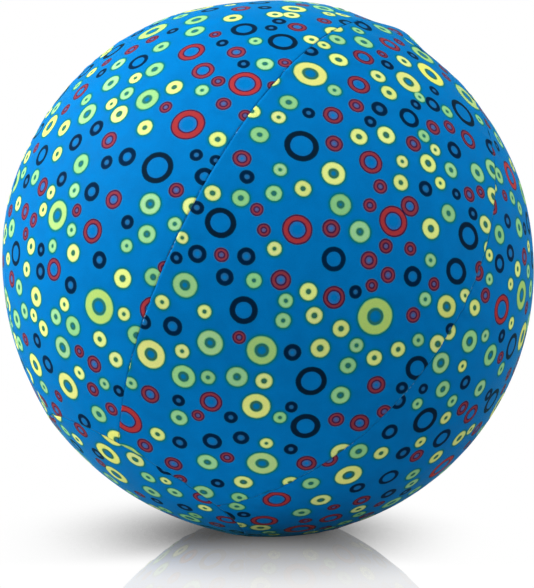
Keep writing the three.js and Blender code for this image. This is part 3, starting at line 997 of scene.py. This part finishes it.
def make_knot(neck_top):
    """A bead with its wraps, a rippled tail and the rolled lip at the tail's end."""
    middle = neck_top + KNOT_GAP + KNOT_HEIGHT / 2
    around, rings = 40, 22
    turn, rise = np.meshgrid(full_turn(around), np.linspace(0.03, math.pi - 0.03, rings))
    wraps = 1 - 0.07 * (1 + np.sin(2 * turn + 5 * rise)) * np.sin(rise)
    bead = np.stack([
        KNOT_DIAMETER / 2 * wraps * np.sin(rise) * np.cos(turn),
        KNOT_DIAMETER / 2 * wraps * np.sin(rise) * np.sin(turn),
        middle + KNOT_HEIGHT / 2 * wraps * np.cos(rise),
    ], axis=-1)
    faces = [face[::-1] for face in closed_tube_faces(rings, around)]

    sides, steps = 32, 30
    turn = full_turn(sides)
    along = np.linspace(TAIL_START, TAIL_LENGTH, steps)
    share = (along - along[0]) / (along[-1] - along[0])
    width = (TAIL_NARROW + (TAIL_WIDTH / 2 - TAIL_NARROW) * share**0.7)[:, None]
    ripple = TAIL_RIPPLE * np.sin(5 * math.pi * share)[:, None] * np.cos(2 * turn)[None]
    tail = np.stack([
        width * np.cos(turn)[None],
        along[:, None] + 0 * turn[None],
        middle + TAIL_HEIGHT * np.sin(turn)[None] + ripple,
    ], axis=-1)
    faces += closed_tube_faces(steps, sides, first=rings * around)

    bend = np.linspace(-1, 1, 24)
    round_end = np.sqrt(np.maximum(1 - np.maximum(np.abs(bend) - 0.86, 0) ** 2 / 0.142**2, 0.01))
    thick = LIP_RADIUS * round_end[:, None]
    lip = np.stack([
        (LIP_WIDTH / 2 * bend)[:, None] + 0 * turn[None],
        TAIL_LENGTH + thick * np.cos(turn)[None],
        middle + thick * np.sin(turn)[None],
    ], axis=-1)
    faces += closed_tube_faces(len(bend), sides, first=rings * around + steps * sides)
    points = np.concatenate([part.reshape(-1, 3) for part in (bead, tail, lip)])
    finish_latex("latex_knot", points, faces, "balloon_knot")


make_knot(make_balloon())

# Camera: its height, its distance and its framing, in pixels of the photo's frame

VIEW_ELEVATION = 6.0
CAMERA_DISTANCE = 9.47 * BALL_RADIUS
IMAGE_WIDTH, IMAGE_HEIGHT = 534, 588
BALL_PIXEL_X, BALL_PIXEL_Y = 268.5, 267.7
BALL_PIXEL_RADIUS = 266.5
SENSOR = 36.0


def make_camera():
    spread = math.tan(math.asin(BALL_RADIUS / CAMERA_DISTANCE))
    focal_pixels = BALL_PIXEL_RADIUS / spread
    data = bpy.data.cameras.new("camera")
    data.sensor_width = SENSOR
    data.lens = focal_pixels * SENSOR / max(IMAGE_WIDTH, IMAGE_HEIGHT)
    data.clip_start, data.clip_end = 0.05, 50
    camera = add_object("camera", data)
    tilt = math.radians(VIEW_ELEVATION)
    back = Vector((0, -math.cos(tilt), math.sin(tilt)))
    up = Vector((0, math.sin(tilt), math.cos(tilt)))
    metres = BALL_RADIUS / BALL_PIXEL_RADIUS
    aside = Vector((1, 0, 0)) * (IMAGE_WIDTH / 2 - BALL_PIXEL_X) * metres
    lower = up * (BALL_PIXEL_Y - IMAGE_HEIGHT / 2) * metres
    camera.location = Vector(CENTRE) + back * CAMERA_DISTANCE
    aim = Vector(CENTRE) + aside + lower
    camera.rotation_mode = "QUATERNION"
    camera.rotation_quaternion = (aim - camera.location).to_track_quat("-Z", "Y")
    bpy.context.scene.camera = camera


# Floor: its painted shadow is that of an even sky whose middle leans this way, to the back and to the right.
# A share of open sky from the first number to the second gives a painted shade from the third to the fourth,
# and in front of the ball a place along Y does so too. The brighter of the two shades is the floor's.
SKY_LEAN = (0.176, 0.341, 0.924)
UNDER_BALL = (-0.173, 0.594, -0.159, 1.0)
IN_FRONT = (-0.02, -0.11, 0.08, 1.0)
SHADE_BLEND = 0.05
# The polish that mirrors the ball grows and then fades with the distance from the foot, and its mirror
# leans a little to the back
POLISH = (0.02, 0.07, 0.3, 0.5)
POLISH_FADES = ((0.09, 0.16, 0.0, 0.32), (0.16, 0.3, 0.0, 0.18))
MIRROR_LEAN = 0.044
MIRROR_ROUGHNESS = 0.02
FLOOR_HALF = 8.0
FLOOR_GREY = 0.56


def make_floor():
    corners = [(-1, -1, 0), (1, -1, 0), (1, 1, 0), (-1, 1, 0)]
    mesh = bpy.data.meshes.new("floor")
    mesh.from_pydata([[FLOOR_HALF * c for c in corner] for corner in corners], [], [(0, 1, 2, 3)])
    nodes = Nodes("white_floor")
    nodes.set("Base Color", (FLOOR_GREY, FLOOR_GREY, FLOOR_GREY))
    nodes.set("Roughness", 0.6)
    # What the camera and reflections see: white, with the ball's soft shadow painted in from the open sky
    # share and the place along Y, darkest where it touches, and the polish. All other light meets the plain
    # grey.
    place = nodes.place()
    away = nodes.vector("LENGTH", nodes.vector("MULTIPLY", place, (1, 1, 0)), output=1)
    sky = {"Distance": 1.0, "Normal": nodes.joined(*SKY_LEAN)}
    open_sky = nodes.add("ShaderNodeAmbientOcclusion", sky, 1, samples=24)
    under = nodes.ramp(open_sky, *UNDER_BALL)
    in_front = nodes.ramp(nodes.parts(place)[1], *IN_FRONT)
    shade = nodes.add("ShaderNodeMath", {0: under, 1: in_front, 2: SHADE_BLEND}, operation="SMOOTH_MAX")
    grey = nodes.dim((1, 1, 1), shade)
    polish = nodes.ramp(away, *POLISH)
    for fade in POLISH_FADES:
        polish = nodes.math("SUBTRACT", polish, nodes.ramp(away, *fade))
    white = nodes.add("ShaderNodeEmission", {"Color": grey, "Strength": 1.0})
    lean = nodes.joined(0.0, MIRROR_LEAN, 1.0)
    gloss = {"Color": grey, "Roughness": MIRROR_ROUGHNESS, "Normal": lean}
    mirror = nodes.add("ShaderNodeBsdfGlossy", gloss)
    shown = nodes.add("ShaderNodeMixShader", {0: polish, 1: white, 2: mirror})
    path = nodes.tree.nodes.new("ShaderNodeLightPath")
    seen = nodes.math("MAXIMUM", path.outputs["Is Camera Ray"], path.outputs["Is Glossy Ray"])
    mixed = nodes.add("ShaderNodeMixShader", {0: seen, 1: nodes.shader.outputs[0], 2: shown})
    nodes.put(nodes.tree.nodes["Material Output"].inputs["Surface"], mixed)
    add_object("floor", mesh, nodes.material)


# Light: a dim white world, which looks white to the camera and in reflections, and five soft boxes. Each
# has its azimuth, where 0 is the camera's side and positive is to its right, its elevation, its size and
# its power.
AMBIENT = 0.1
LAMP_DISTANCE = 2.5
LAMPS = (
    ("left", -104, 30, 1.3, 77),
    ("front_left", -50, 10, 1.2, 18),
    ("upper_left", -60, 62, 1.3, 31),
    ("upper_right", 60, 60, 1.3, 44),
    ("right", 108, 14, 1.0, 18),
)


def make_world():
    world = bpy.data.worlds.new("studio")
    bpy.context.scene.world = world
    world.use_nodes = True
    tree = world.node_tree
    background = tree.nodes["Background"]
    background.inputs["Color"].default_value = (1, 1, 1, 1)
    path = tree.nodes.new("ShaderNodeLightPath")
    seen = tree.nodes.new("ShaderNodeMath")
    seen.operation = "MAXIMUM"
    tree.links.new(path.outputs["Is Camera Ray"], seen.inputs[0])
    tree.links.new(path.outputs["Is Glossy Ray"], seen.inputs[1])
    strength = tree.nodes.new("ShaderNodeMapRange")
    strength.inputs["To Min"].default_value = AMBIENT
    strength.inputs["To Max"].default_value = 1.0
    tree.links.new(seen.outputs[0], strength.inputs["Value"])
    tree.links.new(strength.outputs[0], background.inputs["Strength"])


def add_softbox(name, azimuth, elevation, size, power):
    data = bpy.data.lights.new(name, "AREA")
    data.shape = "DISK"
    data.size = size
    data.energy = power
    lamp = add_object(name, data)
    a, e = math.radians(azimuth), math.radians(elevation)
    out = np.array([math.sin(a) * math.cos(e), -math.cos(a) * math.cos(e), math.sin(e)])
    lamp.location = CENTRE + LAMP_DISTANCE * out
    lamp.rotation_mode = "QUATERNION"
    lamp.rotation_quaternion = (Vector(CENTRE) - lamp.location).to_track_quat("-Z", "Y")


make_camera()
make_floor()
make_world()
for lamp in LAMPS:
    add_softbox(*lamp)

bpy.context.scene.view_settings.view_transform = "Standard"
